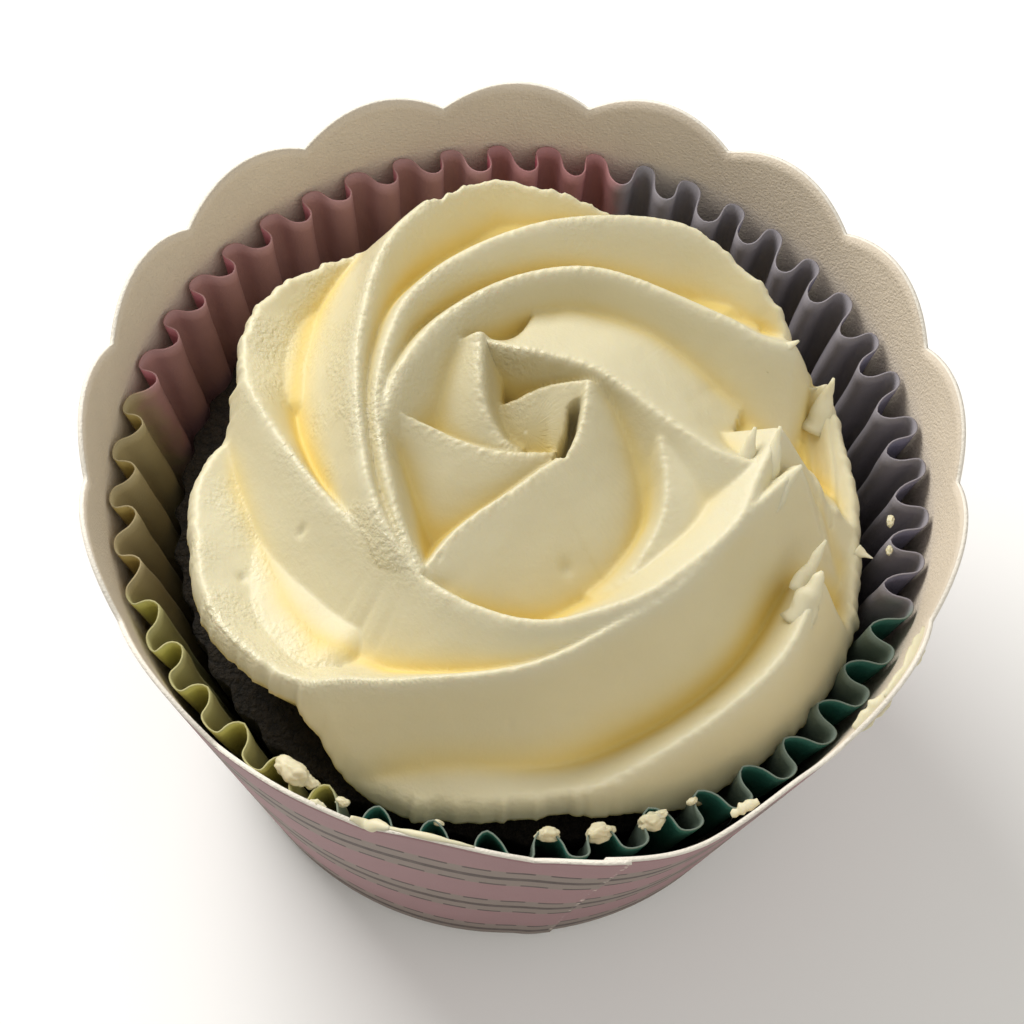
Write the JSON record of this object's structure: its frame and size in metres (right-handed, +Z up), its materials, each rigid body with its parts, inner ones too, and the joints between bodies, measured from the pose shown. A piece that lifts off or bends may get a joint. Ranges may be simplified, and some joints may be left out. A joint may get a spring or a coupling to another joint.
{
  "type": "cupcake",
  "caption": "Chocolate cupcake with a piped cream rose, in a pleated rainbow paper case inside a tapered card cup with a scalloped rim.",
  "frame": {"origin": "middle of the flat base of the card cup", "axes": "+Z up out of the cup; -Y faces the side from which the rose is seen in the record's main view"},
  "size_m": [0.0743, 0.0744, 0.0507],
  "materials": {
    "cup_card": "printed card, dusty pink with grey ribbon bands outside, off-white inside, matte",
    "case_paper": "thin pleated paper in rainbow fields, matte",
    "cake": "dark chocolate crumb, matte",
    "frosting": "cream buttercream with a soft sheen"
  },
  "bodies": {
    "root": {"cup": "cup_card", "paper_case": "case_paper", "cake": "cake", "frosting": "frosting"}
  },
  "joints": []
}
